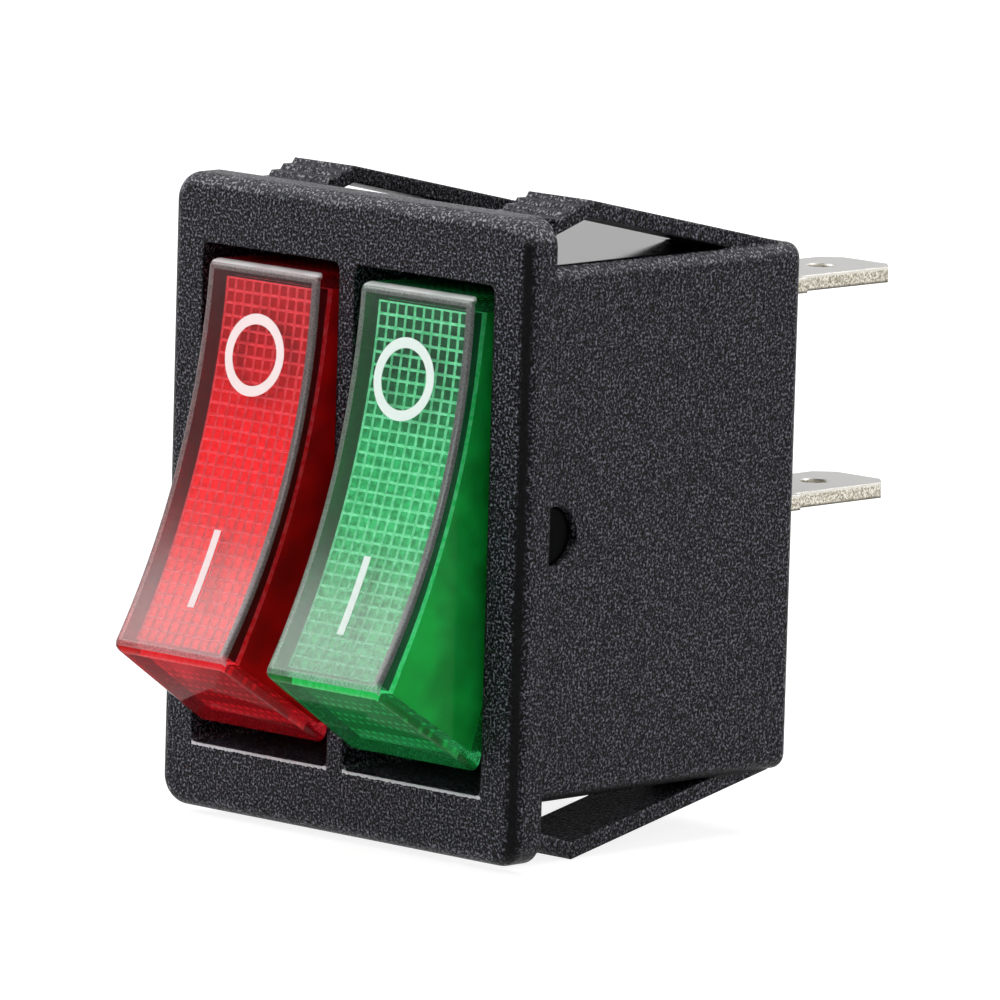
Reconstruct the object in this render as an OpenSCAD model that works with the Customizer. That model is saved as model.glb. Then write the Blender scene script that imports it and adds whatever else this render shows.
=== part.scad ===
// Twin rocker switch for a panel cut-out: two independent on/off rockers in one snap-in housing.
// Millimetres. X runs across the rockers, Y into the panel and Z up. The origin is the middle of
// the bezel's back face, which seats on the panel. Both rockers are drawn in the OFF position.

/* [Bezel] */
// Width of the bezel
bezel_w = 25; // [24:0.1:28]
// Height of the bezel
bezel_h = 32.2; // [30:0.1:36]
// Thickness of the bezel
bezel_t = 1.95; // [1.5:0.05:2.4]
// Radius of the bezel's corners, seen from the front
bezel_corner_r = 1.5; // [1:0.1:2.5]
// Radius of the bezel's front edge
bezel_edge_r = 0.8; // [0.3:0.05:0.95]

/* [Body] */
// Width of the body that passes through the cut-out
body_w = 21.8; // [21:0.1:23]
// Height of the body
body_h = 26.8; // [26:0.1:28.5]
// Depth of the body behind the panel face
body_d = 19.6; // [18:0.1:24]
// Radius of the body's long edges
body_corner_r = 0.8; // [0.65:0.05:1.5]
// Radius of the body's rear edge
body_edge_r = 0.6; // [0.2:0.05:0.6]
// Thickness of the outer side walls
side_wall = 0.75; // [0.6:0.05:1]
// Thickness of the top and bottom walls
top_wall = 0.7; // [0.5:0.05:0.9]
// Thickness of the rear wall
rear_wall = 1.7; // [1:0.1:2]
// Thickness of the wall between the two poles
partition = 1.1; // [1:0.05:1.6]
// Corner radius of the two rocker openings
opening_corner_r = 0.4; // [0.2:0.05:0.6]

/* [Snap arms] */
// Width of a snap arm
arm_w = 4.2; // [3:0.1:6]
// How far an arm stands in from the body's side
arm_inset = 0.6; // [0.1:0.05:1.5]
// Height of an arm's crest over the body
arm_rise = 3.1; // [2.4:0.1:4]
// Thickness of an arm, measured along Z
arm_t = 0.85; // [0.7:0.05:1.2]
// Thickness of the panel that the arms clip behind
panel_t = 2; // [1.2:0.1:2.5]
// Distance from an arm's root to the body's rear face
arm_root_inset = 0.9; // [0.6:0.05:2]
// Number of panel steps on an arm's front slope
step_count = 3; // [2:1:4]
// Length of one panel step
step_run = 0.82; // [0.6:0.02:0.9]
// Height of one panel step
step_rise = 0.26; // [0.2:0.01:0.4]
// How far a step's riser leans forward
step_lean = 0.2; // [0.05:0.05:0.4]

/* [Rocker] */
// Distance of the pivot behind the panel face
pivot_depth = 2.1; // [1.8:0.05:2.4]
// Tilt of a rocker either side of level, in degrees
tilt = 17.8; // [14:0.1:18.5]
// Gap between a rocker's base and the sides of its opening
rocker_gap = 0.3; // [0.2:0.05:0.4]
// Gap between a level rocker's base and the ends of its opening
rim_gap = 0.55; // [0.45:0.05:0.8]
// Distance of a rocker's open rim in front of the pivot
rim_front = 0.3; // [0:0.05:0.8]
// Distance from the pivot to the raised ends of a rocker's face
rocker_reach = 8.05; // [7.2:0.05:9]
// Depth of the hollow in a rocker's face
face_sag = 1.37; // [0.8:0.01:1.8]
// Draft of a rocker's sides, in degrees
side_draft = 4.5; // [2:0.1:7]
// Draft of a rocker's ends, in degrees
end_draft = 15; // [12:0.5:17]
// Wall thickness of a rocker
rocker_wall = 0.9; // [0.7:0.05:1.1]
// Thickness of the rib across a rocker at its pivot
rib_t = 1; // [0.6:0.1:1.6]
// Radius of the lugs that carry the pivot pins
lug_r = 2.3; // [1.9:0.1:2.6]
// Diameter of the pivot pins
pin_d = 2.9; // [2.4:0.1:3]
// How far a pivot pin reaches into its wall
pin_engage = 0.4; // [0.3:0.02:0.44]
// Diameter of the post that guides the plunger
post_d = 5; // [4.6:0.1:6]
// Distance from the post's end to the centre of the plunger's round tip
post_clear = 3.8; // [3.2:0.1:5]
// Distance of the spring seat in front of the pivot
seat_front = 4.5; // [3.5:0.1:5]

/* [Plunger and spring] */
// Diameter of the plunger
plunger_d = 3.2; // [2.8:0.05:3.4]
// Clearance of the plunger's tip over the blade when the rocker is level
plunger_gap = 0.28; // [0.25:0.01:0.5]
// Outer diameter of the spring
spring_d = 2.6; // [2.2:0.05:2.7]
// Diameter of the spring wire
wire_d = 0.4; // [0.25:0.05:0.5]
// Length of the spring as fitted
spring_len = 6.5; // [5.5:0.1:7]
// Number of turns of the spring
spring_turns = 6; // [4:1:8]

/* [Contacts] */
// Distance of the fulcrum in front of the rear wall
fulcrum_stand = 3.2; // [2.8:0.1:3.8]
// Width of a contact blade
blade_w = 5; // [4.6:0.1:5.6]
// Thickness of a contact blade
blade_t = 0.5; // [0.4:0.05:0.7]
// Bend of a blade's two wings out of flat, in degrees
wing_angle = 15; // [14:0.5:16]
// Height at which the blade's long wing bends back
wing_h = 4.2; // [3.6:0.1:5]
// Reach of the blade above its fulcrum
blade_up = 9.8; // [9.4:0.1:10.2]
// Reach of the blade below its fulcrum
blade_down = 5; // [4.6:0.1:6]
// Swing of a blade either side of level, in degrees
blade_swing = 6; // [5:0.5:7]
// Width of a blade's neck at the fulcrum
neck_w = 3; // [2.6:0.1:3.2]
// Height of the notches beside the neck
notch_h = 1.6; // [1.4:0.1:2]
// Height of the contact rivets above the fulcrum, along the blade
contact_up = 8.4; // [7.6:0.1:8.4]
// Diameter of a contact's face
contact_d = 2.6; // [2:0.1:2.7]
// Thickness of a contact's head
contact_t = 0.55; // [0.4:0.05:0.7]
// Diameter of a contact rivet's shank
shank_d = 1.2; // [0.8:0.1:1.4]
// Diameter of a contact rivet's closed end
tail_d = 2; // [1.7:0.1:2.2]
// Thickness of a contact rivet's closed end
tail_t = 0.35; // [0.2:0.05:0.5]

/* [Terminals] */
// Width of a terminal tab
tab_w = 4.8; // [4:0.1:5.2]
// Thickness of the terminal sheet
tab_t = 0.8; // [0.5:0.05:0.9]
// Length of a terminal behind the body
tab_out = 10.7; // [9:0.1:13]
// Chamfer of a tab's tip
tip_chamfer = 0.9; // [0.4:0.1:1.4]
// Diameter of the hole in a tab
tab_hole_d = 1.5; // [1:0.1:1.8]
// Distance of the hole from a tab's tip
tab_hole_inset = 3.4; // [2.2:0.1:4]
// Width of a terminal's shoulder
shoulder_w = 5.8; // [5.4:0.1:6.2]
// Length of the shoulder behind the body
shoulder_out = 3.2; // [1:0.1:4]
// Width of the inner stop that seats on the rear wall
stop_w = 7; // [6.6:0.1:7.2]
// Length of the inner stop
stop_len = 1.2; // [0.8:0.1:1.3]
// Distance of the load terminals below the top wall
load_drop = 2; // [1.6:0.1:2.2]
// How far a common terminal's tab lies below its fulcrum
common_drop = 0.4; // [0.1:0.05:0.8]
// Length of the bend that lowers the tab
bend_len = 1; // [0.6:0.1:1.2]
// Width of the load terminal's bent flange
flange_w = 5; // [4:0.1:5.6]
// Length of the flange below the contact's centre
flange_below = 1.8; // [1.5:0.1:2.4]
// Length of the horns beside a blade's neck
horn_len = 1; // [0.6:0.1:1.4]
// Width of the horns
horn_w = 0.9; // [0.6:0.1:1.2]

/* [Stops and fits] */
// Width of the rocker stop ribs
stop_rib_w = 1.1; // [0.9:0.1:1.2]
// Height of the rocker stop ribs
stop_rib_h = 1.7; // [1.5:0.1:2]
// Width of the post that stops a blade's short wing
blade_stop_w = 3; // [2:0.1:4]
// Height of the post that stops a blade's short wing
blade_stop_h = 1; // [0.8:0.1:1.4]
// Gap left at each stop
stop_gap = 0.1; // [0.05:0.01:0.2]
// Gap between the panel and the arms' front ends
panel_gap = 0.05; // [0.02:0.01:0.1]
// Radial clearance of the pivot pins
pin_fit = 0.05; // [0.02:0.01:0.1]
// Radial clearance of the plunger
plunger_fit = 0.05; // [0.02:0.01:0.1]
// Clearance around a terminal in its slot
slot_fit = 0.05; // [0.02:0.01:0.1]
// Gap between a blade and its fulcrum
rock_gap = 0.05; // [0.02:0.01:0.1]
// Gap between a blade's neck and the horns
horn_gap = 0.1; // [0.05:0.01:0.2]
// Gap left between closed contacts
contact_gap = 0.05; // [0.02:0.01:0.1]
// Clearance of a rivet in its hole
rivet_fit = 0.02; // [0.01:0.01:0.05]
// Gap at each end of the spring
spring_gap = 0.05; // [0.02:0.01:0.1]

/* [Hidden] */
$fn = 64;
over = 1; // how far a cut runs past a face
sink = 0.3; // how far a joined shape sinks into its wall

left = -1;
right = 1;

// Openings and poles
opening_w = (body_w - 2 * side_wall - partition) / 2;
opening_h = body_h - 2 * top_wall;
pole_x = (opening_w + partition) / 2;
inner_rear = body_d - rear_wall;
arm_front_y = panel_t + panel_gap;
arm_crest_y = arm_front_y + step_count * step_run;

// Rocker, measured from its pivot with the rocker level
base_w = opening_w - 2 * rocker_gap;
base_l = opening_h - 2 * rim_gap;
face_half = base_l / 2 - (rocker_reach - rim_front) * tan(end_draft);
face_mid = rocker_reach - face_sag;
face_r = (face_half * face_half + face_sag * face_sag) / (2 * face_sag);
rim_half = base_l / 2;
stop_y = pivot_depth - rim_front * cos(tilt) + rim_half * sin(tilt) + stop_gap;

// Contact blade, measured from its fulcrum with the blade level
fulcrum_y = inner_rear - fulcrum_stand;
blade_y = fulcrum_y - rock_gap;
bend_y = -wing_h * tan(wing_angle);
contact_y = bend_y - (contact_up - wing_h) * tan(blade_swing);
closed_y = blade_y + bend_y * cos(blade_swing) + wing_h * sin(blade_swing);
closed_z = contact_up * cos(blade_swing) - contact_y * sin(blade_swing);
flange_y = closed_y + contact_t + contact_gap + contact_t;
blade_stop_z = blade_down - blade_stop_h;
blade_stop_y = blade_y - blade_stop_z * tan(wing_angle - blade_swing) + stop_gap;

// Plunger and spring, measured from the pivot along the post
plunger_r = plunger_d / 2;
tip_centre = blade_y - pivot_depth - blade_t - (plunger_r + plunger_gap) / cos(wing_angle);
plunger_back = spring_len - seat_front;
post_end = tip_centre - post_clear;

// Terminals
tab_tip = body_d + tab_out;
load_z = opening_h / 2 - load_drop;

// Shared shapes

// Places the children in one of the two poles
module at_pole(side) {
    translate([side * pole_x, 0, 0]) children();
}

// Turns a shape drawn about a level rocker's pivot into its OFF position
module at_rocker(side) {
    at_pole(side) translate([0, pivot_depth, 0]) rotate([-tilt, 0, 0]) children();
}

// Turns a shape drawn about a level blade's fulcrum into its OFF position
module at_blade(side) {
    at_pole(side) translate([0, blade_y, 0]) rotate([blade_swing, 0, 0]) children();
}

// Extrudes an outline drawn in Y and Z along X, about the middle
module along_x(length) {
    rotate([90, 0, 90]) translate([0, 0, -length / 2]) linear_extrude(length) children();
}

// Cylinder along +Y from the origin
module rod_y(r, length) {
    rotate([-90, 0, 0]) cylinder(r = r, h = length);
}

// Cylinder along X, about the middle
module rod_x(r, length) {
    rotate([0, 90, 0]) cylinder(r = r, h = length, center = true);
}

// Rectangle with round corners
module rounded_rect(w, h, r) {
    square([w - 2 * r, h], center = true);
    square([w, h - 2 * r], center = true);
    for (x = [-1, 1], y = [-1, 1])
        translate([x * (w / 2 - r), y * (h / 2 - r)]) circle(r);
}

// Section of a slab's edge, rounded at the top
module edge_section(r, t, edge_r) {
    square([r, t - edge_r]);
    square([r - edge_r, t]);
    intersection() {
        translate([r - edge_r, t - edge_r]) circle(edge_r);
        translate([r - edge_r, t - edge_r]) square(edge_r);
    }
}

// Slab on the XY plane with round corners and a round top edge
module soft_slab(w, h, t, r, edge_r) {
    translate([r - w / 2, r - h / 2, 0]) cube([w - 2 * r, h - 2 * r, t]);
    for (i = [0 : 3]) {
        run = i % 2 == 0 ? w : h;
        across = i % 2 == 0 ? h : w;
        rotate([0, 0, 90 * i]) {
            translate([0, across / 2 - r, 0]) along_x(run - 2 * r) edge_section(r, t, edge_r);
            translate([run / 2 - r, across / 2 - r, 0])
                rotate_extrude(angle = 90) edge_section(r, t, edge_r);
        }
    }
}

// Block that widens from front to back, with its sides and ends drafted
module drafted_block(front_y, back_y, back_w, back_l) {
    depth = back_y - front_y;
    front_w = back_w - 2 * depth * tan(side_draft);
    front_l = back_l - 2 * depth * tan(end_draft);
    intersection() {
        along_x(back_w) polygon([
            [front_y, -front_l / 2], [back_y, -back_l / 2], [back_y, back_l / 2], [front_y, front_l / 2]
        ]);
        linear_extrude(back_l, center = true) polygon([
            [-front_w / 2, front_y], [front_w / 2, front_y], [back_w / 2, back_y], [-back_w / 2, back_y]
        ]);
    }
}

// Contact rivet on the plane Y = 0: its head points along +Y, and its shank passes a sheet in front
module contact_rivet(sheet_t) {
    rod_y(contact_d / 2, contact_t);
    translate([0, -sheet_t - sink, 0]) rod_y(shank_d / 2 - rivet_fit, sheet_t + 2 * sink);
    translate([0, -sheet_t - tail_t, 0]) rod_y(tail_d / 2, tail_t);
}

// Housing

module snap_arm_outline() {
    top = body_h / 2;
    crest = top + arm_rise;
    root = body_d - arm_root_inset;
    inner_root = root - arm_t * (root - arm_crest_y) / arm_rise;
    steps = [
        for (i = [1 : step_count], lean = [step_lean, step_run])
            [arm_crest_y - (i - 1) * step_run - lean, crest - i * step_rise]
    ];
    polygon(concat(
        [[inner_root, top - sink], [root, top - sink], [root, top], [arm_crest_y, crest]],
        steps,
        [[arm_front_y, crest - step_count * step_rise - arm_t], [arm_crest_y, crest - arm_t], [inner_root, top]]
    ));
}

module snap_arms() {
    for (side = [left, right], flip = [0, 1])
        translate([side * (body_w / 2 - arm_inset - arm_w / 2), 0, 0])
            mirror([0, 0, flip]) along_x(arm_w) snap_arm_outline();
}

// Slot in the rear wall for a terminal at height z
module terminal_slot(z) {
    w = shoulder_w + 2 * slot_fit;
    h = tab_t + 2 * slot_fit;
    translate([-w / 2, inner_rear - over, z - h / 2]) cube([w, rear_wall + 2 * over, h]);
}

module pole_cavity() {
    translate([0, inner_rear, 0]) rotate([90, 0, 0])
        linear_extrude(inner_rear + bezel_t + over) rounded_rect(opening_w, opening_h, opening_corner_r);
    terminal_slot(load_z);
    terminal_slot(-common_drop);
}

// Ribs that stop the rocker at both ends of its travel, and the post that stops the blade
module pole_stops() {
    for (x = [0, 1], z = [0, 1])
        mirror([x, 0, 0]) mirror([0, 0, z])
            translate([opening_w / 2 - stop_rib_w, stop_y, opening_h / 2 - stop_rib_h])
                cube([stop_rib_w + sink, inner_rear - stop_y + sink, stop_rib_h + sink]);
    translate([-blade_stop_w / 2, blade_stop_y, -blade_down])
        cube([blade_stop_w, inner_rear - blade_stop_y + sink, blade_stop_h]);
}

module housing() {
    color([0.16, 0.16, 0.18]) {
        difference() {
            union() {
                rotate([90, 0, 0]) soft_slab(bezel_w, bezel_h, bezel_t, bezel_corner_r, bezel_edge_r);
                rotate([-90, 0, 0]) soft_slab(body_w, body_h, body_d, body_corner_r, body_edge_r);
                snap_arms();
            }
            for (side = [left, right]) at_pole(side) pole_cavity();
            translate([0, pivot_depth, 0]) rod_x(pin_d / 2 + pin_fit, body_w + 2 * over);
        }
        for (side = [left, right]) at_pole(side) pole_stops();
    }
}

// Rocker

// Cylinder that cuts the hollow of the face, grown by the wall for the inside
module face_cutter(grow) {
    translate([0, -face_mid - face_r, 0]) rod_x(face_r + grow, base_w + 2 * over);
}

module rocker_shell() {
    difference() {
        drafted_block(-rocker_reach, -rim_front, base_w, base_l);
        face_cutter(0);
        difference() {
            drafted_block(-rocker_reach, over - rim_front,
                base_w - 2 * rocker_wall + 2 * over * tan(side_draft),
                base_l - 2 * rocker_wall + 2 * over * tan(end_draft));
            face_cutter(rocker_wall);
        }
    }
}

module rocker() {
    inner_face = face_mid - rocker_wall;
    rib_w = base_w - 2 * rocker_wall + 2 * sink;
    difference() {
        union() {
            rocker_shell();
            translate([-rib_w / 2, -inner_face - sink, -rib_t / 2]) cube([rib_w, inner_face + sink, rib_t]);
            translate([0, -inner_face - sink, 0]) rod_y(post_d / 2, inner_face + sink + post_end);
            for (side = [left, right]) {
                translate([side * (base_w - rocker_wall) / 2, 0, 0]) rod_x(lug_r, rocker_wall);
                translate([side * (base_w / 2 + (rocker_gap + pin_engage - sink) / 2), 0, 0])
                    rod_x(pin_d / 2, rocker_gap + pin_engage + sink);
            }
        }
        translate([0, -seat_front, 0]) rod_y(plunger_r + plunger_fit, seat_front + post_end + over);
    }
}

module rocker_red() {
    color([0.80, 0.08, 0.12, 0.85]) at_rocker(left) rocker();
}

module rocker_green() {
    color([0.10, 0.50, 0.25, 0.85]) at_rocker(right) rocker();
}

// Plunger and spring

module plunger() {
    stem = tip_centre - plunger_back;
    translate([0, plunger_back, 0]) rotate([-90, 0, 0]) rotate_extrude() {
        square([plunger_r, stem]);
        intersection() {
            translate([0, stem]) circle(plunger_r);
            translate([0, stem]) square(plunger_r);
        }
    }
}

module plunger_red() {
    color([0.90, 0.90, 0.86]) at_rocker(left) plunger();
}

module plunger_green() {
    color([0.90, 0.90, 0.86]) at_rocker(right) plunger();
}

// Coil of round wire along +Z, swept as rings of points
module coil(outer_d, wire, length, turns) {
    sides = 8;
    per_turn = 20;
    rings = turns * per_turn;
    mean_r = (outer_d - wire) / 2;
    rise = (length - wire) / rings;
    points = [
        for (i = [0 : rings], j = [0 : sides - 1])
            let (turn = 360 * i / per_turn, around = 360 * j / sides)
            let (r = mean_r + wire / 2 * cos(around))
            [r * cos(turn), r * sin(turn), wire / 2 + rise * i + wire / 2 * sin(around)]
    ];
    skin = [
        for (i = [0 : rings - 1], j = [0 : sides - 1])
            let (k = (j + 1) % sides)
            [i * sides + j, i * sides + k, (i + 1) * sides + k, (i + 1) * sides + j]
    ];
    first = [for (j = [0 : sides - 1]) sides - 1 - j];
    last = [for (j = [0 : sides - 1]) rings * sides + j];
    polyhedron(points, concat([first], skin, [last]));
}

module spring() {
    translate([0, spring_gap - seat_front, 0]) rotate([-90, 0, 0])
        coil(spring_d, wire_d, spring_len - 2 * spring_gap, spring_turns);
}

module spring_red() {
    color([0.75, 0.76, 0.78]) at_rocker(left) spring();
}

module spring_green() {
    color([0.75, 0.76, 0.78]) at_rocker(right) spring();
}

// Contact blade with its rivet

module contact_blade() {
    end_y = bend_y - (blade_up - wing_h) * tan(blade_swing);
    back = [[-blade_down * tan(wing_angle), -blade_down], [0, 0], [bend_y, wing_h], [end_y, blade_up]];
    front = [for (i = [len(back) - 1 : -1 : 0]) back[i] - [blade_t, 0]];
    notch_x = (blade_w + neck_w) / 4 + over / 2;
    difference() {
        along_x(blade_w) polygon(concat(back, front));
        for (side = [left, right])
            translate([side * notch_x, 0, 0])
                cube([(blade_w - neck_w) / 2 + over, 2 * (blade_t + over), notch_h], center = true);
        translate([0, contact_y, contact_up]) rotate([blade_swing, 0, 0])
            translate([0, -blade_t - over, 0]) rod_y(shank_d / 2, blade_t + 2 * over);
    }
}

module moving_contact() {
    translate([0, contact_y, contact_up]) rotate([blade_swing, 0, 0])
        contact_rivet(blade_t * cos(blade_swing));
}

module contact_blade_red() {
    color([0.80, 0.55, 0.30]) at_blade(left) contact_blade();
}

module contact_blade_green() {
    color([0.80, 0.55, 0.30]) at_blade(right) contact_blade();
}

module moving_contact_red() {
    color([0.86, 0.86, 0.84]) at_blade(left) moving_contact();
}

module moving_contact_green() {
    color([0.86, 0.86, 0.84]) at_blade(right) moving_contact();
}

// Terminals

// Flat outline of a terminal from its inner stop to its tip, drawn in X and Y
module tab_outline() {
    tip_w = tab_w - 2 * tip_chamfer;
    shoulder_end = body_d + shoulder_out;
    half = [
        [stop_w / 2, inner_rear - stop_len], [stop_w / 2, inner_rear],
        [shoulder_w / 2, inner_rear], [shoulder_w / 2, shoulder_end],
        [tab_w / 2, shoulder_end], [tab_w / 2, tab_tip - tip_chamfer], [tip_w / 2, tab_tip]
    ];
    mirrored = [for (i = [len(half) - 1 : -1 : 0]) [-half[i][0], half[i][1]]];
    difference() {
        polygon(concat(half, mirrored));
        translate([0, tab_tip - tab_hole_inset]) circle(tab_hole_d / 2);
    }
}

module tab() {
    linear_extrude(tab_t, center = true) tab_outline();
}

// The sheet bends down behind the blade and carries the fixed contact
module load_terminal() {
    flange_low = closed_z - flange_below;
    difference() {
        union() {
            translate([0, 0, load_z]) tab();
            translate([-flange_w / 2, flange_y, load_z - tab_t / 2])
                cube([flange_w, inner_rear - stop_len - flange_y + sink, tab_t]);
            translate([-flange_w / 2, flange_y, flange_low])
                cube([flange_w, tab_t, load_z + tab_t / 2 - flange_low]);
        }
        translate([0, flange_y - over, closed_z]) rod_y(shank_d / 2, tab_t + 2 * over);
    }
}

module fixed_contact() {
    translate([0, flange_y, closed_z]) rotate([0, 0, 180]) contact_rivet(tab_t);
}

// The front edge is the fulcrum, between two horns that hold the blade's neck. The sheet is bent
// down behind it to the height of the tab.
module common_terminal() {
    horn_x = neck_w / 2 + horn_gap;
    front_w = 2 * (horn_x + horn_w);
    bend_end = inner_rear - stop_len;
    bend_front = bend_end - bend_len;
    bend = [[bend_front - sink, 0], [bend_front, 0], [bend_end, -common_drop], [bend_end + sink, -common_drop]];
    translate([0, 0, -common_drop]) tab();
    along_x(front_w) polygon(concat(
        [for (i = [0 : len(bend) - 1]) bend[i] - [0, tab_t / 2]],
        [for (i = [len(bend) - 1 : -1 : 0]) bend[i] + [0, tab_t / 2]]
    ));
    linear_extrude(tab_t, center = true) {
        translate([-front_w / 2, fulcrum_y]) square([front_w, bend_front - fulcrum_y]);
        for (side = [0, 1])
            mirror([side, 0]) translate([horn_x, fulcrum_y - horn_len]) square([horn_w, horn_len + sink]);
    }
}

module load_terminal_red() {
    color([0.78, 0.77, 0.72]) at_pole(left) load_terminal();
}

module load_terminal_green() {
    color([0.78, 0.77, 0.72]) at_pole(right) load_terminal();
}

module fixed_contact_red() {
    color([0.86, 0.86, 0.84]) at_pole(left) fixed_contact();
}

module fixed_contact_green() {
    color([0.86, 0.86, 0.84]) at_pole(right) fixed_contact();
}

module common_terminal_red() {
    color([0.78, 0.77, 0.72]) at_pole(left) common_terminal();
}

module common_terminal_green() {
    color([0.78, 0.77, 0.72]) at_pole(right) common_terminal();
}

housing();
rocker_red();
rocker_green();
plunger_red();
plunger_green();
spring_red();
spring_green();
contact_blade_red();
contact_blade_green();
moving_contact_red();
moving_contact_green();
load_terminal_red();
load_terminal_green();
fixed_contact_red();
fixed_contact_green();
common_terminal_red();
common_terminal_green();
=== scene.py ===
import math

import bmesh
import bpy
from mathutils import Matrix, Vector


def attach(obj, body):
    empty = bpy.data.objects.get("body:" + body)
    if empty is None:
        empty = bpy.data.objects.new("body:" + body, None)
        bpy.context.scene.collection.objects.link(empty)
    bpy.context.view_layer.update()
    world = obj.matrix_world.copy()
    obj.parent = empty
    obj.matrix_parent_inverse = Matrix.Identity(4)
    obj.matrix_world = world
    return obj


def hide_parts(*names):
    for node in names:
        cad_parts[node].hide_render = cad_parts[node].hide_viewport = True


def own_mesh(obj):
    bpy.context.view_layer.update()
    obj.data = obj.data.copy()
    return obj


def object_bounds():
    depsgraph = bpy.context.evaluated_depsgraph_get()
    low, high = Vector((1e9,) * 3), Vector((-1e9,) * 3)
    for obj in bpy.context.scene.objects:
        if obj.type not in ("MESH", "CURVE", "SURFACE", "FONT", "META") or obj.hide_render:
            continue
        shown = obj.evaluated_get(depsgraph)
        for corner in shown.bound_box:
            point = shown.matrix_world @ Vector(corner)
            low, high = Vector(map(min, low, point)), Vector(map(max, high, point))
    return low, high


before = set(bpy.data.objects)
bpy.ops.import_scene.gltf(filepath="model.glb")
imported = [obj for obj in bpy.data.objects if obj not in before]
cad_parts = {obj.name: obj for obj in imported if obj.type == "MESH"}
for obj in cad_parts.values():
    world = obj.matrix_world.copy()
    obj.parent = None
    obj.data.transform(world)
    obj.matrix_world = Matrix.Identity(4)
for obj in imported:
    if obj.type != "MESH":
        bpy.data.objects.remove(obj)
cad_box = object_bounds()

# Housing. One moulding in black glass-filled nylon: bezel, body, rear wall and four snap arms.
# The tool is spark-eroded, which leaves a fine grain, except under the arms, where a polished
# slide forms the top and bottom of the body.
mm = 0.001
grain_size, grain_depth, grain_relief, grain_rough = 0.2 * mm, 0.26 * mm, 0.9, 0.32
speck_size, speck_from, speck_to = 0.13 * mm, 0.51, 0.74
slide_height, slide_reach, slide_relief, slide_rough = 13.4 * mm, 0.06 * mm, 0.02, 0.1
edge_radius, edge_samples = 0.25 * mm, 6
edge_highlight_from, edge_highlight_full, edge_highlight_fade, edge_highlight_end = 0.12, 0.45, 0.88, 0.96
shaded_round_from, shaded_round_full, shaded_round_fade, shaded_round_end = 0.25, 0.45, 0.8, 0.95
opening_x, opening_half_w, opening_low = 5.35 * mm, 4.8 * mm, -12.7 * mm
bezel_face = -1.9 * mm
opening_highlight_rise, opening_highlight_half, opening_highlight_wander = 0.05 * mm, 0.09 * mm, 0.2 * mm


def linear(colour):
    """An sRGB hex colour as linear red, green, blue and alpha"""
    parts = [int(colour[i:i + 2], 16) / 255 for i in (1, 3, 5)]
    return [p / 12.92 if p <= 0.04045 else ((p + 0.055) / 1.055) ** 2.4 for p in parts] + [1]


def add(tree, kind, inputs=None, **settings):
    """A new node in tree, with its settings, and its inputs set or linked"""
    node = tree.nodes.new(kind)
    for name, value in settings.items():
        setattr(node, name, value)
    for name, value in (inputs or {}).items():
        if isinstance(value, bpy.types.NodeSocket):
            tree.links.new(value, node.inputs[name])
        else:
            node.inputs[name].default_value = value
    return node


def new_finish(name, plain):
    """A material, its node tree and its shader, with the shader's plain values set"""
    material = bpy.data.materials.new(name)
    material.use_nodes = True
    shader = material.node_tree.nodes["Principled BSDF"]
    for socket, value in plain.items():
        shader.inputs[socket].default_value = value
    return material, material.node_tree, shader


def dress(material, *nodes):
    """Gives CAD nodes a finish"""
    for name in nodes:
        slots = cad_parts[name].data.materials
        slots.clear()
        slots.append(material)


# To the eye the nylon is black with pale specks, painted glints of the grain's crests, and has a
# painted grey highlight along its upper edges. The slide's faces are a dark mirror.
black_nylon, tree, shader = new_finish("spark_textured_black_nylon", {
    "IOR": 1.53, "Specular IOR Level": 0.08})
place = add(tree, "ShaderNodeTexCoord").outputs["Object"]
axes = add(tree, "ShaderNodeSeparateXYZ", {"Vector": place}).outputs
height = add(tree, "ShaderNodeMath", {0: axes["Z"]}, operation="ABSOLUTE").outputs[0]
at_slide = add(tree, "ShaderNodeMath", {
    0: height, 1: slide_height, 2: slide_reach}, operation="COMPARE").outputs[0]
behind_bezel = add(tree, "ShaderNodeMath", {0: axes["Y"], 1: 0}, operation="GREATER_THAN").outputs[0]
polished = add(tree, "ShaderNodeMath", {0: at_slide, 1: behind_bezel}, operation="MULTIPLY").outputs[0]
grain = add(tree, "ShaderNodeTexNoise", {
    "Vector": place, "Scale": 1 / grain_size, "Detail": 3, "Roughness": 0.55}).outputs["Fac"]
# Painted glints: pale specks in the colour stand for crests of the grain catching the light.
specks = add(tree, "ShaderNodeTexNoise", {
    "Vector": place, "Scale": 1 / speck_size, "Detail": 2}).outputs["Fac"]
painted_glint = add(tree, "ShaderNodeMapRange", {0: specks, 1: speck_from, 2: speck_to, 3: 0, 4: 1}).outputs[0]
soft_normal = add(tree, "ShaderNodeBevel", {"Radius": edge_radius}, samples=edge_samples).outputs["Normal"]
facing = add(tree, "ShaderNodeSeparateXYZ", {"Vector": soft_normal}).outputs
# Painted highlight: rounds that face upwards get a grey band, standing for light from above catching them.
off_wall = add(tree, "ShaderNodeMapRange", {0: facing["Z"], 1: edge_highlight_from, 2: edge_highlight_full, 3: 0, 4: 1}).outputs[0]
off_top = add(tree, "ShaderNodeMapRange", {0: facing["Z"], 1: edge_highlight_end, 2: edge_highlight_fade, 3: 0, 4: 1}).outputs[0]
painted_edge_highlight = add(tree, "ShaderNodeMath", {0: off_wall, 1: off_top}, operation="MULTIPLY").outputs[0]
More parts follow.
